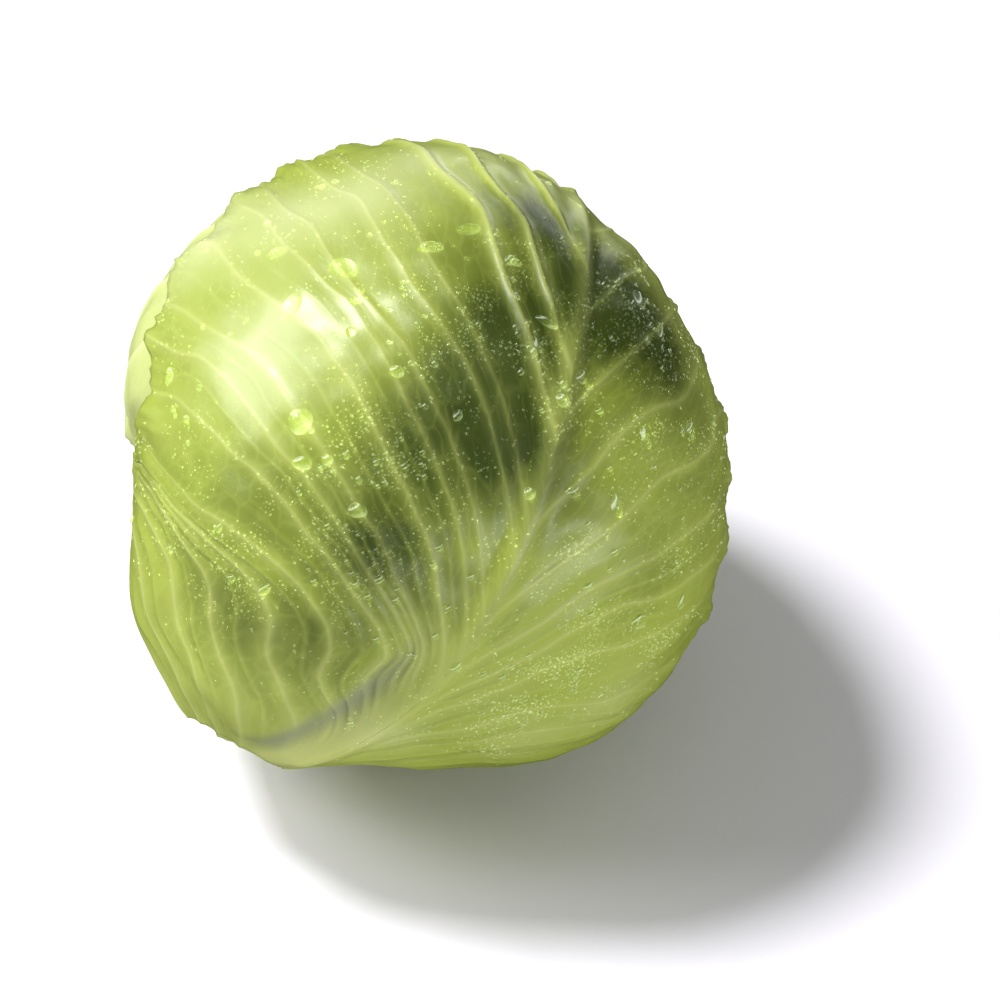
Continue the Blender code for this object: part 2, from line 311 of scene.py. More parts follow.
def facing(across, down):
    """The direction from the head's middle to the spot that the photograph shows at a pixel."""
    flat = seen_at(across, down)
    out = max(HEAD_HALF_WIDTH**2 - flat @ flat, 0.0) ** 0.5
    return unit(flat + out * TOWARDS)


def smooth_step(low, high, value):
    share = np.clip((value - low) / (high - low), 0.0, 1.0)
    return share * share * (3.0 - 2.0 * share)


def rise_and_fall(bounds, value):
    return smooth_step(bounds[0], bounds[1], value) * (1.0 - smooth_step(bounds[2], bounds[3], value))


def ripple(points, length, seed):
    """A smooth random field round 0 over points, with bumps of about the given length."""
    draw = np.random.default_rng(seed)
    total = 0.0
    for _ in range(8):
        heading = unit(draw.normal(size=3)) * 2.0 * np.pi / (length * draw.uniform(0.7, 1.5))
        total = total + np.sin(points @ heading + draw.uniform(0.0, 2.0 * np.pi))
    return total / 2.8


def midrib_turn(leaf, reach):
    return leaf["turn"] + leaf["sway"] * reach


def bent_over_crown(leaf, way, reach, back=False):
    """Turns the end of a leaf on past the crown, or with back the other way."""
    pivot = np.cross(STEM, direction(midrib_turn(leaf, 90.0), 90.0))
    bend = np.radians(leaf["over_crown"] * smooth_step(TIP_BEND_START, 180.0, reach))[..., None]
    if back:
        bend = -bend
    along = (way @ pivot)[..., None] * pivot
    return way * np.cos(bend) + np.cross(pivot, way) * np.sin(bend) + along * (1.0 - np.cos(bend))


def covering(leaf, way):
    """1 where a leaf lies over that direction, falling to 0 past its margin."""
    _, reach = angles(way)
    turn, reach = angles(bent_over_crown(leaf, way, reach, back=True))
    aside = (turn - midrib_turn(leaf, reach) + 180.0) % 360.0 - 180.0
    low = 1.0 - smooth_step(*LOBE_REACH, reach)
    left, right = (leaf["half_width"][side] + leaf["lobe"][side] * low for side in (LEFT, RIGHT))
    past = np.where(aside < 0.0, -aside - left, aside - right) * np.sin(np.radians(reach))
    return 1.0 - smooth_step(COVER_EDGE[0], COVER_EDGE[1], past)


def depth_under(leaves, way):
    """How far the leaves that lie over it hold a piece below the head's outside."""
    depth = np.zeros(way.shape[:-1])
    for leaf in leaves:
        depth = depth + LAYER * covering(leaf, way)
    return depth


def packed_rows(leaf):
    """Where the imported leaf's rows leave its midrib, which its ragged margin goes by."""
    rows = sorted(set(leaf["left_veins"]) | set(leaf["right_veins"]))
    for veins in (leaf["left_veins"], leaf["right_veins"]):
        for low, high in zip(veins, veins[1:]):
            between = (low + high) / 2.0
            if min(abs(between - row) for row in rows) > ROWS_APART:
                rows.append(between)
    fan = LEAF_START - FAN * np.linspace(1.0, 0.0, FAN_ROWS)
    return np.concatenate([fan, sorted(rows), [TIP_ROW, LEAF_END]])


def fine_rows(leaf):
    """Rows along every side vein, with the gaps between two of them split evenly."""
    fan = LEAF_START - FAN * np.append(FAN_VEINS, (1.0, 0.8, 0.6, 0.4, 0.2, 0.0))
    marks = sorted({*fan, *leaf["left_veins"], *leaf["right_veins"], LEAF_END})
    rows = [marks[0]]
    for low, high in zip(marks, marks[1:]):
        count = max(1, round((high - low) / leaf["row_step"]))
        rows += list(low + (high - low) * np.arange(1, count + 1) / count)
    return np.array(rows)


def strayed(points, seed):
    """How far a vein strays from its even course: a long bend with a short one on it."""
    return ripple(points, 0.050, seed) + 0.22 * ripple(points, 0.017, seed + 1)


def half_leaf_angles(leaf, side, start, across):
    """Turn and reach on one half: each row leaves the midrib and sweeps on towards the tip."""
    draw = np.random.default_rng(leaf["seed"] + side)
    packed = packed_rows(leaf)
    bitten = np.interp(start, packed, draw.random(packed.shape[0]))
    bites = RAGGED * smooth_step(*RAGGED_ROWS, start) * bitten
    tears = TORN * (np.sin(2.1 * start + 1.7 * side) * np.sin(0.83 * start) + 0.5 * np.sin(5.3 * start))
    ragged = 1.0 - bites - tears * smooth_step(0.7, 1.0, across)
    base = np.maximum(start, LEAF_START)
    opened = leaf["fan_span"][side] * np.maximum(LEAF_START - start, 0.0) / FAN
    half_width = leaf["half_width"][side] + leaf["lobe"][side] * (1.0 - smooth_step(*LOBE_ROWS, start))
    aside = opened + (half_width * ragged - opened) * across
    rise = leaf["rise"][side] * np.tanh((LEAF_END - base) / leaf["rise"][side])
    reach = base + rise * (1.0 - np.exp(-(aside - opened) / leaf["run"][side]))
    wander = VEIN_WANDER * smooth_step(0.0, 0.3, across) * smooth_step(14.0, 40.0, reach)
    spot = HEAD_HALF_WIDTH * direction(midrib_turn(leaf, reach) + SIGN[side] * aside, reach)
    curl = leaf["curl"][side] * rise_and_fall(CURL_REACH, reach) * (1.0 - smooth_step(0.75, 1.0, across))
    aside = aside + curl * smooth_step(0.0, 0.22, across) * np.sin(0.20 * reach + 0.03 * aside)
    aside = aside + wander * strayed(spot, leaf["seed"] + 5)
    reach = reach + wander * strayed(spot, leaf["seed"] + 7)
    return midrib_turn(leaf, reach) + SIGN[side] * aside, reach, aside


def off_midrib(reach, aside):
    """How far from the midrib, along the head's surface."""
    return HEAD_HALF_WIDTH * np.sin(np.radians(reach)) * np.radians(aside)


def vein_layout(leaf, side):
    """Where the side veins leave the midrib, and how strong each is: close ones are weaker."""
    veins = leaf["left_veins"] if side == LEFT else leaf["right_veins"]
    places = np.concatenate([LEAF_START - FAN * FAN_VEINS, veins])
    gaps = np.diff(places, prepend=places[0] - VEINS_APART, append=places[-1] + VEINS_APART)
    return places, np.minimum(np.minimum(gaps[1:], gaps[:-1]) / VEINS_APART, 1.0)


def gathered(leaf, side, start, across):
    """1 where the rows crowd together at the lobe's shoulder, 0 away from there."""
    crowded = rise_and_fall(SHOULDER_ROWS, start) * smooth_step(0.45, 0.85, across)
    return crowded * (leaf["lobe"][side] > 0.0)


def vein_relief(leaf, side, start, across, off, reach):
    """Side veins as ridges, the blade puffed between them, and low twig veins near the stem."""
    places, strength = vein_layout(leaf, side)
    here = np.interp(start, places, np.arange(len(places)))
    share = here - np.floor(here)
    puff = PUFF * 4.0 * share * (1.0 - share)
    apart = start[..., None] - places
    scale = leaf["vein_scale"][side]
    ridges = strength * (0.6 * bell(apart, VEIN_HALF_WIDTH) + 0.5 * bell(apart, VEIN_FOOT))
    ridge = VEIN_HEIGHT * scale * ridges.max(axis=-1) * (1.0 - leaf["vein_fade"][side] * across)
    twigs = bell(start[..., None] - (places[1:] + places[:-1]) / 2.0, TWIG_HALF_WIDTH).max(axis=-1)
    twigs = TWIG_HEIGHT * scale * twigs * rise_and_fall(TWIG_REACH, reach)
    twigs = twigs * (1.0 - smooth_step(0.35, 0.75, across))
    ridge = ridge * (1.0 - 0.95 * gathered(leaf, side, start, across))
    return (puff + ridge + twigs) * smooth_step(0.35 * VEIN_JOINS, VEIN_JOINS, off)


def midrib_size(reach):
    share = np.clip(reach / LEAF_END, 0.0, 1.0) ** MIDRIB_TAPER
    half_width = MIDRIB_HALF_WIDTH[0] + (MIDRIB_HALF_WIDTH[1] - MIDRIB_HALF_WIDTH[0]) * share
    height = MIDRIB_HEIGHT[0] + (MIDRIB_HEIGHT[1] - MIDRIB_HEIGHT[0]) * share
    full = smooth_step(LEAF_START, MIDRIB_FULL_AT, reach)
    return half_width, height * (MIDRIB_AT_STEM + (1.0 - MIDRIB_AT_STEM) * full)


def midrib_relief(reach, off):
    """The midrib: broad and thick near the stem, thin at the tip."""
    half_width, height = midrib_size(reach)
    return height * bell(off, half_width)


def blade_swell(leaf, side, reach, aside):
    """The blade bulges beside the midrib's lower end, which leaves the midrib in a valley."""
    return leaf["swell"][side] * rise_and_fall(SWELL_ASIDE, aside) * rise_and_fall(SWELL_REACH, reach)


def on_head(way, radius, depth):
    """Points at a distance from the head's middle, pressed flat where they would sink below the foot."""
    points = way * radius[..., None]
    points[..., 2] = np.maximum(points[..., 2], depth - FOOT_LEVEL)
    return points


def vein_marks(leaf, side, start, across, outer):
    """Millimetres to the nearest side vein and the nearest twig vein, each with its strength."""
    along_row = np.gradient(outer, axis=1)
    down_rows = np.gradient(outer, start[:, 0], axis=0)
    length = np.maximum(np.linalg.norm(along_row, axis=-1), 1e-9)
    spacing = np.linalg.norm(np.cross(down_rows, along_row), axis=-1) / length
    spacing = np.minimum(spacing, WIDEST_ROW) * 1000.0
    places, strength = vein_layout(leaf, side)
    apart = np.abs(start[..., None] - places)
    nearest = apart.argmin(axis=-1)
    twigs = (places[1:] + places[:-1]) / 2.0
    far = apart.min(axis=-1) * spacing
    twig_far = np.abs(start[..., None] - twigs).min(axis=-1) * spacing
    size = strength[nearest] * (1.0 - leaf["vein_fade"][side] * across)
    size = size * (0.3 + 0.7 * leaf["vein_scale"][side])
    size = size * (1.0 - 0.9 * gathered(leaf, side, start, across))
    twig_size = (1.0 - smooth_step(45.0, 80.0, start)) * (1.0 - 0.5 * across)
    return far, size, twig_far, twig_size


def patches(spots, way):
    """How strongly soft-edged patches of colour cover each direction."""
    bare = np.ones(way.shape[:-1])
    for pixel, amount, spread in spots:
        apart = np.degrees(np.arccos(np.clip(way @ facing(*pixel), -1.0, 1.0)))
        bare = bare * (1.0 - amount * bell(apart, spread))
    return 1.0 - bare


def groove_and_keel(leaf, side, reach, off):
    """The hollow beside the midrib near its base, and the smooth keel that the hollow runs along."""
    near_base = leaf["curl"][side] / FULL_CURL * (1.0 - smooth_step(34.0, 66.0, reach))
    groove = near_base * bell(off - GROOVE_OFF, GROOVE_WIDTH) * smooth_step(10.0, 18.0, reach)
    return groove, near_base * (1.0 - smooth_step(0.006, 0.012, off))


def margin_flare(start, across, aside, bare, seed):
    """How far a leaf's bare margin stands off: a slow wave with a finer ruffle on it."""
    margin = np.maximum(smooth_step(SIDE_MARGIN, 1.0, across), smooth_step(TIP_MARGIN, LEAF_END, start))
    wave = 0.5 + 0.5 * np.sin(WAVE_ALONG * start + WAVE_ROUND * aside + seed)
    ruffle = RUFFLE * np.sin(1.7 * start + 0.4 * aside) * np.sin(0.61 * start + 2.0)
    return bare * margin * smooth_step(*FLARE_ROWS, start) * (FLARE * wave + ruffle)


def half_leaf(leaf, side, leaves_over):
    """The outer and the inner face of one half of a leaf, and what its skin goes by."""
    across = np.linspace(0.0, 1.0, leaf["fine_columns"][side] + 1) ** COLUMN_SPREAD
    start, across = np.meshgrid(fine_rows(leaf), across, indexing="ij")
    turn, reach, aside = half_leaf_angles(leaf, side, start, across)
    way = bent_over_crown(leaf, direction(turn, reach), reach)
    depth = depth_under(leaves_over, way)
    bare = 1.0 - np.clip(depth / LAYER, 0.0, 1.0)
    off = off_midrib(reach, aside)
    veins = vein_relief(leaf, side, start, across, off, reach)
    relief = (COVERED_RELIEF + (1.0 - COVERED_RELIEF) * bare) * veins
    relief = relief + bare * (midrib_relief(reach, off) + blade_swell(leaf, side, reach, aside))
    for length, height in PUCKERS:
        pucker = height * ripple(way * HEAD_HALF_WIDTH, length, leaf["seed"] + 9)
        relief = relief + bare * pucker * smooth_step(0.0, VEIN_JOINS, off)
    groove, keel = groove_and_keel(leaf, side, reach, off)
    relief = relief - bare * GROOVE_DEPTH * groove
    surface = head_radius(way) - depth + margin_flare(start, across, aside, bare, leaf["seed"])
    outer = on_head(way, surface + relief, depth)
    inner = on_head(way, surface - BLADE_THICKNESS, depth + BLADE_THICKNESS)
    far, size, twig_far, twig_size = vein_marks(leaf, side, start, across, outer)
    half_width, _ = midrib_size(reach)
    rib = bell(off, 0.75 * half_width) * (1.0 - 0.55 * smooth_step(30.0, 110.0, reach))
    marks = {
        "vein_far": far,
        "vein_size": size,
        "twig_far": twig_far,
        "twig_size": twig_size,
        "rib": np.maximum(rib, keel),
        "butt": 1.0 - smooth_step(14.0, 46.0, reach),
        "deep_and_shade": patches(DEEP_GREEN_AND_SHADE, way),
        "bleached_and_lit": patches(BLEACHED_AND_LIT, way),
        "groove": groove,
        "u": off,
        "v": start * 0.0016,
    }
    return outer, inner, marks


def closed_skin(outer, inner, faces):
    """A blade's outer face, its inner face split alike, and the wall along its edge."""
    _, first, index = np.unique(np.round(outer, 7), axis=0, return_index=True, return_inverse=True)
    faces = index.reshape(-1)[faces]
    whole = (faces != np.roll(faces, 1, axis=1)).all(axis=1)
    faces = faces[whole]
    count = len(first)
    edges = np.concatenate([faces[:, [k, (k + 1) % 4]] for k in range(4)])
    keys = edges[:, 0].astype(np.int64) * count + edges[:, 1]
    rim = edges[~np.isin(keys, edges[:, 1].astype(np.int64) * count + edges[:, 0])]
    wall = np.stack([rim[:, 1], rim[:, 0], rim[:, 0] + count, rim[:, 1] + count], axis=1)
    points = np.concatenate([outer[first], inner[first]])
    return points, np.concatenate([faces, faces[:, ::-1] + count, wall]), first


def piece_from(name, points, faces, skin):
    """A smooth-shaded piece with its place in its mesh."""
    mesh = bpy.data.meshes.new(name)
    mesh.from_pydata((points + HEAD_MIDDLE).tolist(), [], faces)
    mesh.shade_smooth()
    mesh.materials.append(skin)
    piece = bpy.data.objects.new(name, mesh)
    bpy.context.scene.collection.objects.link(piece)
    return piece


def grid_faces(rows, columns, first, flip):
    """Quads over a grid of points numbered from first."""
    corner = first + np.arange((rows - 1) * columns).reshape(rows - 1, columns)[:, :-1].reshape(-1)
    faces = np.stack([corner, corner + 1, corner + columns + 1, corner + columns], axis=1)
    return faces[:, ::-1] if flip else faces


def dress_leaf(leaf, leaves_over, skin):
    """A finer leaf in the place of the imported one."""
    outer, inner, marks, faces, placed = [], [], [], [], 0
    for side in (LEFT, RIGHT):
        outer_half, inner_half, half_marks = half_leaf(leaf, side, leaves_over)
        rows, columns = outer_half.shape[:2]
        faces.append(grid_faces(rows, columns, placed, flip=side == LEFT))
        placed += rows * columns
        outer.append(outer_half.reshape(-1, 3))
        inner.append(inner_half.reshape(-1, 3))
        marks.append({name: values.reshape(-1) for name, values in half_marks.items()})
    points, quads, first = closed_skin(np.concatenate(outer), np.concatenate(inner), np.concatenate(faces))
    piece = piece_from(leaf["name"] + "_skin", points, quads.tolist(), skin)
    merged = {name: np.concatenate([half[name] for half in marks])[first] for name in marks[0]}
    for name, values in merged.items():
        if name not in ("u", "v"):
            layer = piece.data.attributes.new(name, "FLOAT", "POINT")
            layer.data.foreach_set("value", np.tile(values, 2).astype(np.float32))
    corners = np.empty(len(piece.data.loops), np.int32)
    piece.data.loops.foreach_get("vertex_index", corners)
    flat = np.stack([np.tile(merged["u"], 2)[corners], np.tile(merged["v"], 2)[corners]], axis=1)
    piece.data.uv_layers.new(name="blade").data.foreach_set("uv", flat.reshape(-1).astype(np.float32))
    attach(piece, "root")
    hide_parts(leaf["name"])
    return piece


class Wire:
    """A shader socket that Python's own operators work on."""

    def __init__(self, finish, socket):
        self.finish = finish
        self.socket = socket

    def maths(self, operation, first, second=0.5):
        return self.finish.add("ShaderNodeMath", {"operation": operation}, {0: first, 1: second})

    def __add__(self, other):
        return self.maths("ADD", self, other)

    def __radd__(self, other):
        return self.maths("ADD", other, self)

    def __sub__(self, other):
        return self.maths("SUBTRACT", self, other)

    def __rsub__(self, other):
        return self.maths("SUBTRACT", other, self)

    def __mul__(self, other):
        return self.maths("MULTIPLY", self, other)

    def __rmul__(self, other):
        return self.maths("MULTIPLY", other, self)

    def __truediv__(self, other):
        return self.maths("DIVIDE", self, other)

    def __rtruediv__(self, other):
        return self.maths("DIVIDE", other, self)

    def least(self, other):
        return self.maths("MINIMUM", self, other)

    def most(self, other):
        return self.maths("MAXIMUM", self, other)

    def bell(self, width):
        """1 at 0, falling off smoothly over the width."""
        share = self / width
        return self.maths("EXPONENT", -1.0 * (share * share))

    def step(self, low, high):
        """0 up to low, 1 from high on, and smooth between."""
        sockets = {"Value": self, "From Min": low, "From Max": high}
        return self.finish.add("ShaderNodeMapRange", {"interpolation_type": "SMOOTHSTEP"}, sockets)


class Finish:
    """A procedural surface finish on a Principled shader."""

    def __init__(self, name, **constants):
        self.material = bpy.data.materials.new(name)
        self.material.use_nodes = True
        self.nodes = self.material.node_tree.nodes
        self.links = self.material.node_tree.links
        self.shader = self.nodes["Principled BSDF"]
        for socket, value in constants.items():
            self.shader.inputs[socket.replace("_", " ")].default_value = value

    def add(self, kind, settings, sockets, out=0):
        """A node of this kind, its settings made first and then its sockets fed, as one of its outputs."""
        node = self.nodes.new(kind)
        for name, value in settings.items():
            setattr(node, name, value)
        for key, value in sockets.items():
            self.feed(node.inputs[key], value)
        return Wire(self, node.outputs[out])

    def feed(self, socket, value):
        if isinstance(value, Wire):
            self.links.new(value.socket, socket)
        else:
            socket.default_value = value

    def mark(self, name):
        return self.add("ShaderNodeAttribute", {"attribute_name": name}, {}, out="Fac")

    def blend(self, share, first, second):
        return self.add("ShaderNodeMix", {"data_type": "RGBA"}, {0: share, 6: first, 7: second}, out=2)

    def noise(self, where, scale, detail=3.0, distortion=0.0):
        sockets = {"Vector": where, "Scale": scale, "Detail": detail}
        sockets.update({"Roughness": 0.55, "Distortion": distortion})
        return self.add("ShaderNodeTexNoise", {}, sockets)

    def set(self, **sockets):
        for socket, value in sockets.items():
            self.feed(self.shader.inputs[socket.replace("_", " ")], value)


def leaf_finish(name, lime, green, pale, bleach):
    """Waxy leaf skin: lime to dark green that is partly painted shade, paler on ribs and veins,
    with painted shade in the midrib's hollow, cream that is partly painted light, a fine net and a thin
    bloom.
    """
    skin = Finish(name, IOR=1.42, Coat_Roughness=0.28)
    place = skin.add("ShaderNodeTexCoord", {}, {}, out="Object")
    blade = skin.add("ShaderNodeUVMap", {"uv_map": "blade"}, {})
    far, size = skin.mark("vein_far"), skin.mark("vein_size")
    twig_far, twig_size = skin.mark("twig_far"), skin.mark("twig_size")
    rib, butt = skin.mark("rib"), skin.mark("butt")
    deep_and_shade, groove = skin.mark("deep_and_shade"), skin.mark("groove")

    clear = 1.0 - 0.9 * rib
    core = far.bell(0.45 + 0.50 * size) * clear
    slope = far.bell(1.4 + 2.2 * size) * clear
    twig = twig_far.bell(0.7) * twig_size * clear
    warp = skin.add("ShaderNodeTexNoise", {}, {"Vector": place, "Scale": 130.0, "Detail": 1.0}, out="Color")
    sockets = {0: warp, 1: (0.006, 0.006, 0.006), 2: blade}
    bent = skin.add("ShaderNodeVectorMath", {"operation": "MULTIPLY_ADD"}, sockets)
    cells = {"feature": "DISTANCE_TO_EDGE"}
    edge = skin.add("ShaderNodeTexVoronoi", cells, {"Vector": bent, "Scale": 150.0}, out="Distance")
    net = 1.0 - edge.step(0.0, 0.16)
    blotch = skin.noise(place, 42.0, detail=3.0)
    grain = skin.noise(place, 1100.0, detail=1.0)
    cloud = skin.noise(place, 19.0, detail=2.0)

    # Painted shade: the dark green patches are partly the leaf's own colour and partly shade painted in.
    depth = deep_and_shade * 1.15 + (blotch - 0.5) * 0.5 - 0.26 * slope * size - 0.14 * twig - 0.06 * net
    depth = depth.most(0.0).least(1.0)
    colour = skin.blend(depth, lime, green)
    colour = skin.blend((butt * 0.12 + cloud.step(0.55, 0.8) * 0.08).least(1.0), colour, pale)
    veined = (slope * 0.26 + core * 0.50) * (0.20 + 0.80 * size) + twig * 0.14 + net * 0.05
    colour = skin.blend(veined * (1.0 - 0.72 * depth), colour, pale)
    colour = skin.blend(rib * (0.34 + 0.56 * butt), colour, pale)
    # Painted shade: the hollow beside the midrib is darkened to a grey green, for the shade that falls in it.
    colour = skin.blend(groove * (0.62 + 0.4 * cloud), colour, (0.25, 0.27, 0.16, 1.0))
    # Painted light mixed with real bleaching: cream where the leaf is bleached and where light is painted on.
    cream_and_painted_light = (bleach + skin.mark("bleached_and_lit")) * (0.5 + 0.5 * cloud)
    skin.set(Base_Color=skin.blend(cream_and_painted_light, colour, (0.78, 0.82, 0.50, 1.0)))
    bloom = (0.20 + 0.35 * cloud.step(0.35, 0.65)) * (1.0 - 0.8 * depth)
    skin.set(Roughness=0.34 + 0.14 * blotch + 0.05 * grain, Coat_Weight=bloom)
    height = 0.25 * core * (0.3 + 0.7 * size) + 0.16 * twig + 0.60 * blotch + 0.06 * grain
    bump = skin.add("ShaderNodeBump", {}, {"Strength": 0.8, "Distance": 0.001, "Height": height})
    skin.set(Normal=bump)
    return skin.material


LEAF_COLOURS = {
    "leaf_front": ((0.315, 0.390, 0.048, 1.0), (0.036, 0.056, 0.003, 1.0), (0.52, 0.57, 0.17, 1.0), 0.0),
    "leaf_under": ((0.28, 0.36, 0.050, 1.0), (0.08, 0.12, 0.010, 1.0), (0.50, 0.55, 0.18, 1.0), 0.02),
    "leaf_left": ((0.47, 0.54, 0.16, 1.0), (0.22, 0.29, 0.05, 1.0), (0.68, 0.72, 0.36, 1.0), 0.10),
    "leaf_back": ((0.34, 0.42, 0.08, 1.0), (0.13, 0.19, 0.02, 1.0), (0.58, 0.62, 0.24, 1.0), 0.04),
}

leaf_pieces = []
for layer, wrapper in enumerate(LEAVES):
    finish = leaf_finish(wrapper["slot"], *LEAF_COLOURS[wrapper["name"]])
    leaf_pieces.append(dress_leaf(wrapper, LEAVES[:layer], finish))

# The inner head: the pale younger leaves, packed so tight that they make one dense body. Their
# spiral edges show only under the wrapper leaves' tips. It grows on the core.
STEM_ANGLE = 8.7
STEM_SLOPE = np.tan(np.radians(STEM_ANGLE))
CORE_TIP = 0.040
CORE_TIP_RADIUS = 0.0040
CORE_BASE = 0.088
PIECE_GAP = 0.0004
INNER_GAP = 0.0016
INNER_STEP = 0.0016
INNER_STEP_REACH = (70.0, 130.0)
INNER_TWIST = 2.0
INNER_SPIRALS = 5
INNER_SIDES = 150
INNER_ROWS = 90
INNER_START = 10.2
INNER_END = 174.0


def ring(along, radius, turn):
    """Points round the stem's axis."""
    turn = np.radians(turn)[:, None]
    return along * STEM + radius * (np.cos(turn) * FRONT + np.sin(turn) * SIDE)


def turned_faces(rings, sides, flip):
    """Faces over rings of points, with one point before them and one after."""
    last = 1 + rings * sides
    faces = []
    for k in range(sides):
        after = (k + 1) % sides
        faces.append((0, 1 + k, 1 + after))
        faces.append((last, last - sides + after, last - sides + k))
        for row in range(rings - 1):
            a = 1 + row * sides
            faces.append((a + k, a + sides + k, a + sides + after, a + after))
    return [face[::-1] for face in faces] if flip else faces


def dress_inner_head(skin):
    turn = np.arange(INNER_SIDES) * 360.0 / INNER_SIDES
    well_bottom = CORE_TIP - PIECE_GAP
    rings = [
        ring(well_bottom, CORE_TIP_RADIUS + PIECE_GAP, turn),
        ring(CORE_BASE, CORE_BASE * STEM_SLOPE + PIECE_GAP, turn),
    ]
    for reach in np.linspace(INNER_START, INNER_END, INNER_ROWS):
        way = direction(turn, np.full(INNER_SIDES, reach))
        depth = depth_under(LEAVES, way) + INNER_GAP
        step = (turn * INNER_SPIRALS + reach * INNER_TWIST) % 360.0 / 360.0
        fold = INNER_STEP * step * smooth_step(*INNER_STEP_REACH, reach)
        pucker = 0.0003 * (1.0 + ripple(way * HEAD_HALF_WIDTH, 0.02, 51))
        rings.append(on_head(way, head_radius(way) - depth - fold - pucker, depth + fold))
    crown = np.mean(rings[-1], axis=0)
    points = np.concatenate([[well_bottom * STEM], *rings, [crown]])
    piece = piece_from("inner_head_skin", points, turned_faces(len(rings), INNER_SIDES, flip=True), skin)
    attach(piece, "root")
    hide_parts("inner_head")


def inner_leaf_finish():
    skin = Finish("inner_leaves", IOR=1.40)
    place = skin.add("ShaderNodeTexCoord", {}, {}, out="Object")
    streak = skin.noise(place, 60.0, detail=4.0, distortion=0.8)
    grain = skin.noise(place, 700.0)
    colour = skin.blend(streak.step(0.35, 0.7), (0.80, 0.84, 0.52, 1.0), (0.58, 0.68, 0.24, 1.0))
    skin.set(Base_Color=colour, Roughness=0.36 + 0.12 * streak)
    height = 0.5 * streak + 0.05 * grain
    skin.set(Normal=skin.add("ShaderNodeBump", {}, {"Strength": 0.7, "Distance": 0.001, "Height": height}))
    return skin.material


dress_inner_head(inner_leaf_finish())

# The stem: the cut stalk and the tapering core that it becomes inside the head, one solid woody
# piece. The knife left its end flat, with a fibrous ring round a paler pith, browned at the rim.
STEM_CUT = 0.1026
CUT_EDGE = 0.0008
STEM_SIDES = 96
CUT_RINGS = 14


def dress_stem(skin):
    turn = np.arange(STEM_SIDES) * 360.0 / STEM_SIDES
    profile = [(CORE_TIP, CORE_TIP_RADIUS), (CORE_BASE, CORE_BASE * STEM_SLOPE)]
    for share in np.linspace(0.25, 1.0, 4):
        along = CORE_BASE + (STEM_CUT - CUT_EDGE - CORE_BASE) * share
        profile.append((along, along * STEM_SLOPE))
    rim = STEM_CUT * STEM_SLOPE - CUT_EDGE
    rings = [ring(along, radius, turn) for along, radius in profile]
    for share in np.linspace(1.0, 0.07, CUT_RINGS):
        dish = 0.0004 * (1.0 - share**2)
        cut = ring(STEM_CUT - dish, rim * share, turn)
        rings.append(cut - 0.00012 * np.abs(ripple(cut, 0.003, 61))[:, None] * STEM)
    points = np.concatenate([[CORE_TIP * STEM], *rings, [(STEM_CUT - 0.0005) * STEM]])
    piece = piece_from("stem_skin", points, turned_faces(len(rings), STEM_SIDES, flip=False), skin)
    piece.data.set_sharp_from_angle(angle=np.radians(50.0))
    from_axis = np.linalg.norm(points - (points @ STEM)[:, None] * STEM, axis=1) / rim
    layer = piece.data.attributes.new("from_axis", "FLOAT", "POINT")
    layer.data.foreach_set("value", from_axis.astype(np.float32))
    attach(piece, "root")
    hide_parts("stem")


def stalk_finish():
    skin = Finish("stalk", IOR=1.40)
    place = skin.add("ShaderNodeTexCoord", {}, {}, out="Object")
    out = skin.mark("from_axis")
    fibre = skin.noise(place, 1100.0, detail=3.0)
    blotch = skin.noise(place, 170.0, detail=4.0)
    wood_ring = (out - 0.72 + 0.05 * blotch).bell(0.10)
    browned = out.step(0.84, 1.04) * blotch.step(0.35, 0.6)
    colour = skin.blend(blotch, (0.74, 0.74, 0.50, 1.0), (0.62, 0.64, 0.36, 1.0))
    colour = skin.blend(wood_ring * (0.35 + 0.4 * fibre), colour, (0.52, 0.50, 0.26, 1.0))
    colour = skin.blend(browned * 0.75, colour, (0.30, 0.19, 0.08, 1.0))
    skin.set(Base_Color=colour, Roughness=0.55 + 0.15 * fibre)
    height = 0.35 * fibre + 0.5 * blotch + 0.25 * wood_ring
    skin.set(Normal=skin.add("ShaderNodeBump", {}, {"Strength": 0.8, "Distance": 0.0006, "Height": height}))
    return skin.material


dress_stem(stalk_finish())

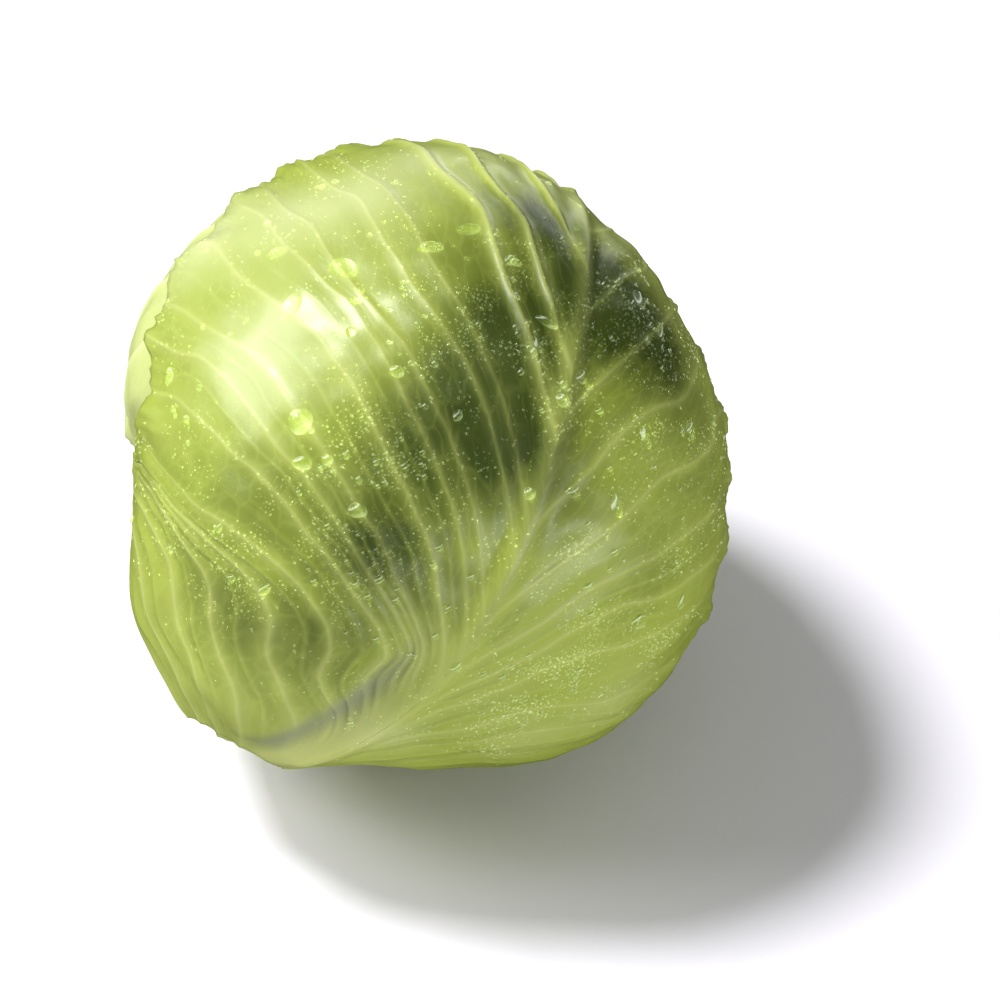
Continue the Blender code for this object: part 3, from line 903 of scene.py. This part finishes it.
# The water: drops that beaded on the front leaf's wax, clear, from a fine mist to a few big ones
# that began to run. They only lie on the skin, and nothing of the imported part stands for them.
BIG_DROPS = (
    # the photograph's pixel, its length and width in pixels, and how its length leans in degrees
    (433, 258, 26, 16, 20),
    (350, 278, 34, 22, -30),
    (300, 315, 30, 20, 60),
    (285, 262, 22, 14, 15),
    (180, 380, 20, 12, 80),
    (310, 425, 28, 24, 30),
    (312, 465, 19, 15, 0),
    (336, 462, 13, 11, 0),
    (402, 378, 15, 13, 20),
    (358, 340, 10, 12, 0),
    (362, 310, 14, 10, 0),
    (560, 405, 15, 14, 40),
    (577, 382, 16, 14, 90),
    (640, 440, 26, 10, -55),
    (684, 430, 18, 11, 70),
    (635, 305, 22, 14, -75),
    (656, 335, 20, 9, 65),
    (611, 505, 26, 13, -60),
    (570, 492, 15, 12, 0),
    (528, 494, 13, 12, 0),
    (634, 618, 22, 14, -50),
    (585, 583, 12, 10, 0),
    (588, 610, 9, 8, 0),
    (610, 550, 9, 8, 0),
    (677, 600, 18, 9, -75),
    (545, 330, 26, 10, -15),
    (535, 352, 18, 9, -50),
    (515, 305, 12, 9, 0),
    (510, 270, 16, 12, 45),
    (275, 585, 17, 11, 40),
    (242, 575, 10, 8, 0),
    (180, 547, 15, 10, 30),
    (231, 527, 12, 8, 50),
    (460, 420, 13, 9, 70),
    (365, 510, 20, 15, -20),
    (385, 575, 10, 10, 0),
    (437, 562, 9, 8, 0),
    (442, 545, 9, 9, 0),
    (472, 573, 9, 8, 0),
    (355, 717, 10, 8, 0),
    (415, 648, 10, 8, 0),
    (458, 660, 14, 11, 60),
    (595, 415, 9, 8, 0),
    (515, 272, 13, 10, 0),
    (470, 240, 24, 16, 35),
    (198, 422, 11, 9, 0),
    (184, 412, 8, 7, 0),
    (330, 470, 7, 6, 0),
    (395, 350, 7, 6, 0),
    (540, 415, 6, 6, 0),
    (605, 470, 8, 6, 0),
    (650, 470, 10, 6, -50),
    (520, 378, 9, 7, 80),
    (575, 235, 9, 8, 0),
)
DROP_STEEPNESS = 0.42
DROP_RINGS = 7
DROP_SIDES = 20
DROP_SINK = 0.00015
DROP_REACH = 0.3
BEAD_SIDES = 7
BEAD_RINGS = 4
BEAD_FLATNESS = 0.6

# Where the mist is thickest, in the same terms as the deep green
MISTY = (
    ((500, 320), 0.55, 13),
    ((620, 290), 0.45, 14),
    ((560, 400), 0.3, 9),
    ((350, 540), 0.6, 12),
    ((310, 700), 0.7, 7),
    ((510, 705), 0.9, 8),
    ((570, 640), 0.8, 8),
    ((655, 635), 0.7, 5),
    ((665, 555), 0.7, 5),
    ((577, 550), 0.7, 6),
    ((400, 430), 0.6, 10),
    ((240, 560), 0.4, 9),
    ((665, 420), 0.6, 9),
)

# Where the key light comes from
KEY_FROM = tuple(unit(np.array([-0.536, 0.238, 1.0])))


def water_finish(name, shade, painted_glow, gathers, glint):
    """Clear water with painted light: painted shade on a drop's side to the key light with a painted
    glint there, and a painted glow by emission on the other side.
    """
    skin = Finish(name, Roughness=0.02, IOR=1.33, Transmission_Weight=1.0, Emission_Strength=1.0)
    normal = skin.add("ShaderNodeNewGeometry", {}, {}, out="Normal")
    sockets = {0: normal, 1: KEY_FROM}
    to_key = skin.add("ShaderNodeVectorMath", {"operation": "DOT_PRODUCT"}, sockets, out="Value")
    lit = skin.mark("lit").most(0.0)
    lean = to_key - lit
    # Painted shade: the drop's side towards the key light is tinted darker.
    skin.set(Base_Color=skin.blend(lean.step(0.0, 0.42), (0.94, 1.0, 0.88, 1.0), shade))
    dim = (1.0 - 0.8 * skin.mark("deep_and_shade")) * (1.0 - lit.step(0.35, 0.95))
    # Painted light: emission makes the far side glow and puts a white glint on the side to the light.
    painted_lit_side = skin.blend((0.0 - lean).step(*gathers) * dim, (0.0, 0.0, 0.0, 1.0), painted_glow)
    painted_glint = (lean - 0.30).bell(0.09) * glint
    skin.set(Emission_Color=skin.blend(painted_glint, painted_lit_side, (0.90, 0.94, 0.84, 1.0)))
    return skin.material


def drop_on(tree, across, down, length, width, lean, draw):
    """One drop's points: a low dome whose rim lies on the leaf and whose outline is a little uneven."""
    start = seen_at(across, down) + HEAD_MIDDLE + DROP_REACH * TOWARDS
    spot, normal, _, _ = tree.ray_cast(Vector(start), Vector(-TOWARDS))
    normal = np.array(normal)
    lean = np.radians(lean)
    seen_way = np.cos(lean) * VIEW_RIGHT + np.sin(lean) * VIEW_UP
    long_way = unit(np.cross(normal, np.cross(seen_way, normal)))
    wide_way = np.cross(normal, long_way)
    turn = np.linspace(0.0, 2.0 * np.pi, DROP_SIDES, endpoint=False)
    oval = 1.0 + 0.07 * np.sin(2 * turn + draw.uniform(0, 6))
    outline = oval + 0.05 * np.sin(3 * turn + draw.uniform(0, 6))
    points = []
    for share in np.linspace(0.0, 1.0, DROP_RINGS + 1)[1:]:
        lift = DROP_STEEPNESS * width * PIXEL * (1.0 - share**2.6) ** 0.8 - DROP_SINK
        x = share * outline * np.cos(turn) * length * PIXEL / 2.0
        y = share * outline * np.sin(turn) * width * PIXEL / 2.0
        flat = np.array(spot) + x[:, None] * long_way + y[:, None] * wide_way
        on_skin = np.array([tree.find_nearest(Vector(point))[0] for point in flat])
        points.append(on_skin + lift * normal)
    top = np.array(spot) + (DROP_STEEPNESS * width * PIXEL - DROP_SINK) * normal
    bottom = np.array(spot) - 2.0 * DROP_SINK * normal
    return np.concatenate([[top], *points, [bottom]]), max(float(normal @ np.array(KEY_FROM)), 0.0)


def make_big_drops(tree, skin):
    draw = np.random.default_rng(71)
    points, lit, faces, placed = [], [], [], 0
    dome = turned_faces(DROP_RINGS, DROP_SIDES, flip=False)
    for drop in BIG_DROPS:
        made, faced = drop_on(tree, *drop, draw)
        points.append(made - HEAD_MIDDLE)
        lit += [faced] * len(made)
        faces += [tuple(corner + placed for corner in face) for face in dome]
        placed += len(made)
    piece = piece_from("big_drops", np.concatenate(points), faces, skin)
    piece.visible_shadow = False
    piece.data.attributes.new("lit", "FLOAT", "POINT").data.foreach_set("value", lit)
    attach(piece, "root")


def mist_tree(name, skin):
    """Small beads scattered over a mesh where its "wet" mark is high, each lying on the skin."""
    tree = bpy.data.node_groups.new(name, "GeometryNodeTree")
    tree.interface.new_socket("Geometry", in_out="INPUT", socket_type="NodeSocketGeometry")
    for name in ("Beads per square metre", "Smallest radius", "Largest radius", "Seed"):
        kind = "NodeSocketInt" if name == "Seed" else "NodeSocketFloat"
        tree.interface.new_socket(name, in_out="INPUT", socket_type=kind)
    tree.interface.new_socket("Geometry", in_out="OUTPUT", socket_type="NodeSocketGeometry")

    def add(kind, settings, sockets):
        node = tree.nodes.new(kind)
        for name, value in settings.items():
            setattr(node, name, value)
        for key, value in sockets.items():
            if isinstance(value, bpy.types.NodeSocket):
                tree.links.new(value, node.inputs[key])
            else:
                node.inputs[key].default_value = value
        return node

    given = add("NodeGroupInput", {}, {}).outputs
    wet = add("GeometryNodeInputNamedAttribute", {"data_type": "FLOAT"}, {"Name": "wet"}).outputs["Attribute"]
    sockets = {0: wet, 1: given["Beads per square metre"]}
    density = add("ShaderNodeMath", {"operation": "MULTIPLY"}, sockets).outputs[0]
    sockets = {"Mesh": given["Geometry"], "Density": density, "Seed": given["Seed"]}
    spots = add("GeometryNodeDistributePointsOnFaces", {}, sockets).outputs
    chance = add("FunctionNodeRandomValue", {"data_type": "FLOAT"}, {"Seed": given["Seed"]}).outputs[1]
    rare = add("ShaderNodeMath", {"operation": "POWER"}, {0: chance, 1: 3.0}).outputs[0]
    sockets = {"Value": rare, "To Min": given["Smallest radius"], "To Max": given["Largest radius"]}
    size = add("ShaderNodeMapRange", {}, sockets).outputs[0]
    sockets = {0: spots["Normal"], 1: KEY_FROM}
    faced = add("ShaderNodeVectorMath", {"operation": "DOT_PRODUCT"}, sockets).outputs["Value"]
    sockets = {"Geometry": spots["Points"], "Name": "lit", "Value": faced}
    known = add("GeometryNodeStoreNamedAttribute", {"domain": "POINT"}, sockets).outputs["Geometry"]
    sockets = {"Segments": BEAD_SIDES, "Rings": BEAD_RINGS, "Radius": 1.0}
    bead = add("GeometryNodeMeshUVSphere", {}, sockets).outputs["Mesh"]
    sockets = {"Geometry": bead, "Scale": (1.0, 1.0, BEAD_FLATNESS)}
    low = add("GeometryNodeTransform", {}, sockets).outputs["Geometry"]
    sockets = {"Points": known, "Instance": low, "Rotation": spots["Rotation"], "Scale": size}
    placed = add("GeometryNodeInstanceOnPoints", {}, sockets).outputs["Instances"]
    real = add("GeometryNodeRealizeInstances", {}, {"Geometry": placed}).outputs["Geometry"]
    smooth = add("GeometryNodeSetShadeSmooth", {}, {0: real}).outputs[0]
    done = add("GeometryNodeSetMaterial", {}, {"Geometry": smooth, "Material": skin}).outputs["Geometry"]
    add("NodeGroupOutput", {}, {0: done})
    return tree


def make_beads(name, leaf_piece, tree, density, smallest, largest, seed):
    """Beads over the part of a leaf that the photograph shows, as one plain mesh."""
    holder = bpy.data.objects.new(name + "_holder", leaf_piece.data.copy())
    bpy.context.scene.collection.objects.link(holder)
    points = np.empty(len(holder.data.vertices) * 3)
    holder.data.vertices.foreach_get("co", points)
    way = points.reshape(-1, 3) - HEAD_MIDDLE
    far = np.linalg.norm(way, axis=1)
    way = way / far[:, None]
    spot = way * HEAD_HALF_WIDTH
    clusters = smooth_step(-0.3, 1.1, ripple(spot, 0.021, seed) + 0.6 * ripple(spot, 0.009, seed + 1))
    shown = smooth_step(0.10, 0.45, way @ TOWARDS) * (1.0 - smooth_step(0.72, 0.95, way @ STEM))
    outer = np.arange(len(far)) < len(far) // 2
    wet = clusters * shown * outer * (0.12 + 0.88 * patches(MISTY, way))
    layer = holder.data.attributes.new("wet", "FLOAT", "POINT")
    layer.data.foreach_set("value", wet.astype(np.float32))
    scatter = holder.modifiers.new("mist", "NODES")
    scatter.node_group = tree
    sizes = {"Beads per square metre": density, "Smallest radius": smallest}
    sizes.update({"Largest radius": largest, "Seed": seed})
    for item in tree.interface.items_tree:
        if item.in_out == "INPUT" and item.name in sizes:
            scatter[item.identifier] = sizes[item.name]
    evaluated = holder.evaluated_get(bpy.context.evaluated_depsgraph_get())
    mesh = bpy.data.meshes.new_from_object(evaluated)
    bpy.data.objects.remove(holder)
    piece = bpy.data.objects.new(name, mesh)
    bpy.context.scene.collection.objects.link(piece)
    piece.visible_shadow = False
    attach(piece, "root")
    return piece


water = water_finish("water", (0.60, 0.67, 0.50, 1.0), (0.16, 0.19, 0.09, 1.0), (0.12, 0.75), 0.45)
mist_water = water_finish("mist_water", (0.92, 0.95, 0.88, 1.0), (0.32, 0.34, 0.25, 1.0), (-0.2, 0.35), 0.0)
front = leaf_pieces[0].data
front_corners = [corner.co for corner in front.vertices]
make_big_drops(BVHTree.FromPolygons(front_corners, [face.vertices for face in front.polygons]), water)
mist = mist_tree("mist", mist_water)
make_beads("mist_beads_1", leaf_pieces[0], mist, 1300000.0, 0.00018, 0.00046, 5)
make_beads("mist_beads_2", leaf_pieces[0], mist, 1300000.0, 0.00020, 0.00052, 12)
make_beads("small_drops", leaf_pieces[0], mist_tree("drops", water), 150000.0, 0.00045, 0.00130, 8)

# The camera: a long lens that looks down on the head from the front.
CAMERA_DISTANCE = 1.8
camera_data = bpy.data.cameras.new("camera")
camera_data.sensor_width = 36.0
camera_data.lens = 36.0 * CAMERA_DISTANCE / (1000.0 * PIXEL)
camera_data.clip_end = 20.0
camera = bpy.data.objects.new("camera", camera_data)
eye = Vector(HEAD_MIDDLE + seen_at(500.0, 500.0) + CAMERA_DISTANCE * TOWARDS)
camera.matrix_world = Matrix.Translation(eye) @ Vector(TOWARDS).to_track_quat("Z", "Y").to_matrix().to_4x4()
bpy.context.scene.collection.objects.link(camera)
bpy.context.scene.camera = camera

# The floor: a plain white studio sheet under the head.
floor_mesh = bpy.data.meshes.new("floor")
floor_mesh.from_pydata([(-4, -4, 0), (4, -4, 0), (4, 4, 0), (-4, 4, 0)], [], [(0, 1, 2, 3)])
floor = bpy.data.objects.new("floor", floor_mesh)
bpy.context.scene.collection.objects.link(floor)
paper = Finish("floor_paper", Base_Color=(0.865, 0.845, 0.92, 1.0), Roughness=0.75, IOR=1.3)
floor_mesh.materials.append(paper.material)
floor.visible_glossy = False

# The light: a soft key from the upper left, a soft box lower on the left that gives the leaf its
# gloss, a bright strip low behind for the sheen along the upper edge, a low fill on the right, and
# a pale room that gives no reflections of its own.
scene = bpy.context.scene
scene.view_settings.view_transform = "Standard"
ROOM_LIGHT = 0.31
room = bpy.data.worlds.new("room")
room.use_nodes = True
room.node_tree.nodes["Background"].inputs["Strength"].default_value = ROOM_LIGHT
room.node_tree.nodes["Background"].inputs["Color"].default_value = (1.0, 1.0, 1.0, 1.0)
room.cycles_visibility.glossy = False
scene.world = room


def soft_box(name, towards, distance, size, power):
    data = bpy.data.lights.new(name, "AREA")
    data.shape = "RECTANGLE"
    data.size, data.size_y = size
    data.energy = power
    box = bpy.data.objects.new(name, data)
    towards = Vector(towards).normalized()
    turned = towards.to_track_quat("Z", "Y").to_matrix().to_4x4()
    box.matrix_world = Matrix.Translation(Vector(HEAD_MIDDLE) + distance * towards) @ turned
    box.visible_transmission = False
    scene.collection.objects.link(box)


key_data = bpy.data.lights.new("key", "SUN")
key_data.energy = 3.1
key_data.angle = np.radians(14.0)
key = bpy.data.objects.new("key", key_data)
key.matrix_world = Vector(KEY_FROM).to_track_quat("Z", "Y").to_matrix().to_4x4()
key.visible_transmission = False
scene.collection.objects.link(key)
soft_box("left_box", (-0.82, 0.06, 0.56), 1.5, (0.8, 0.8), 13.5)
soft_box("back_strip", (0.30, 0.95, 0.04), 1.3, (0.7, 0.22), 2.0)
soft_box("right_fill", (0.62, -0.78, 0.04), 1.8, (1.6, 0.5), 16.5)
